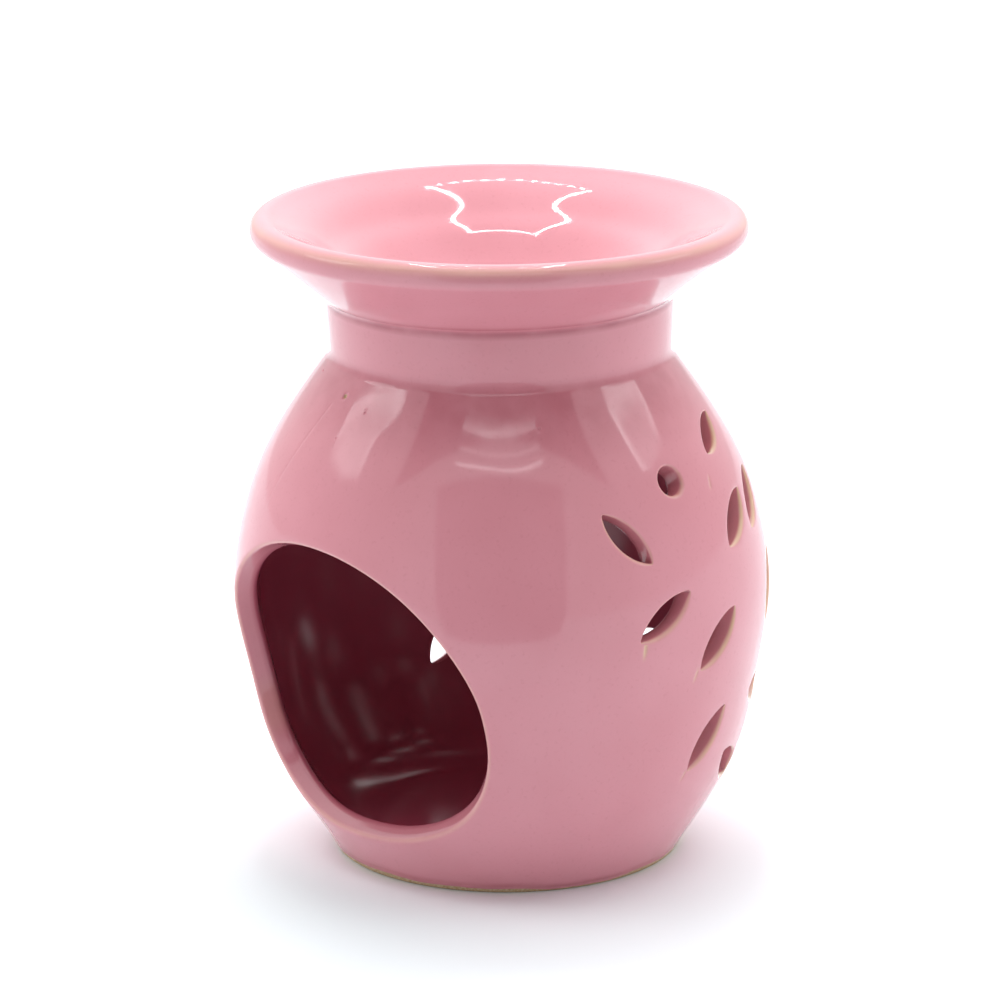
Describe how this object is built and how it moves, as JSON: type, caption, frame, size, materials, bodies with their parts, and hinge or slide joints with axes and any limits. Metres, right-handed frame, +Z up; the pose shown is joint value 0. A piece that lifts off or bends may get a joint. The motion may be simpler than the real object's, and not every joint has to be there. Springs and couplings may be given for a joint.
{
  "type": "tea-light wax burner",
  "caption": "Glazed ceramic tea-light burner: a rounded vessel with one large oval window and cut leaf-shaped vents, under a short neck and a flared open dish for wax or oil.",
  "frame": {"origin": "centre of the flat foot, on the plane that the burner stands on", "axes": "+Z up along the vessel's axis; the large window faces -Y; the measured side of the vent scatter is on +X"},
  "size_m": [0.0954, 0.0932, 0.115],
  "materials": {
    "body_glaze": "glossy rose-pink glaze, thin and cream-coloured on cut edges",
    "dish_glaze": "glossy rose-pink glaze, thin and brownish on the lip"
  },
  "bodies": {
    "root": {"burner_body": "body_glaze", "wax_dish": "dish_glaze"}
  },
  "joints": []
}
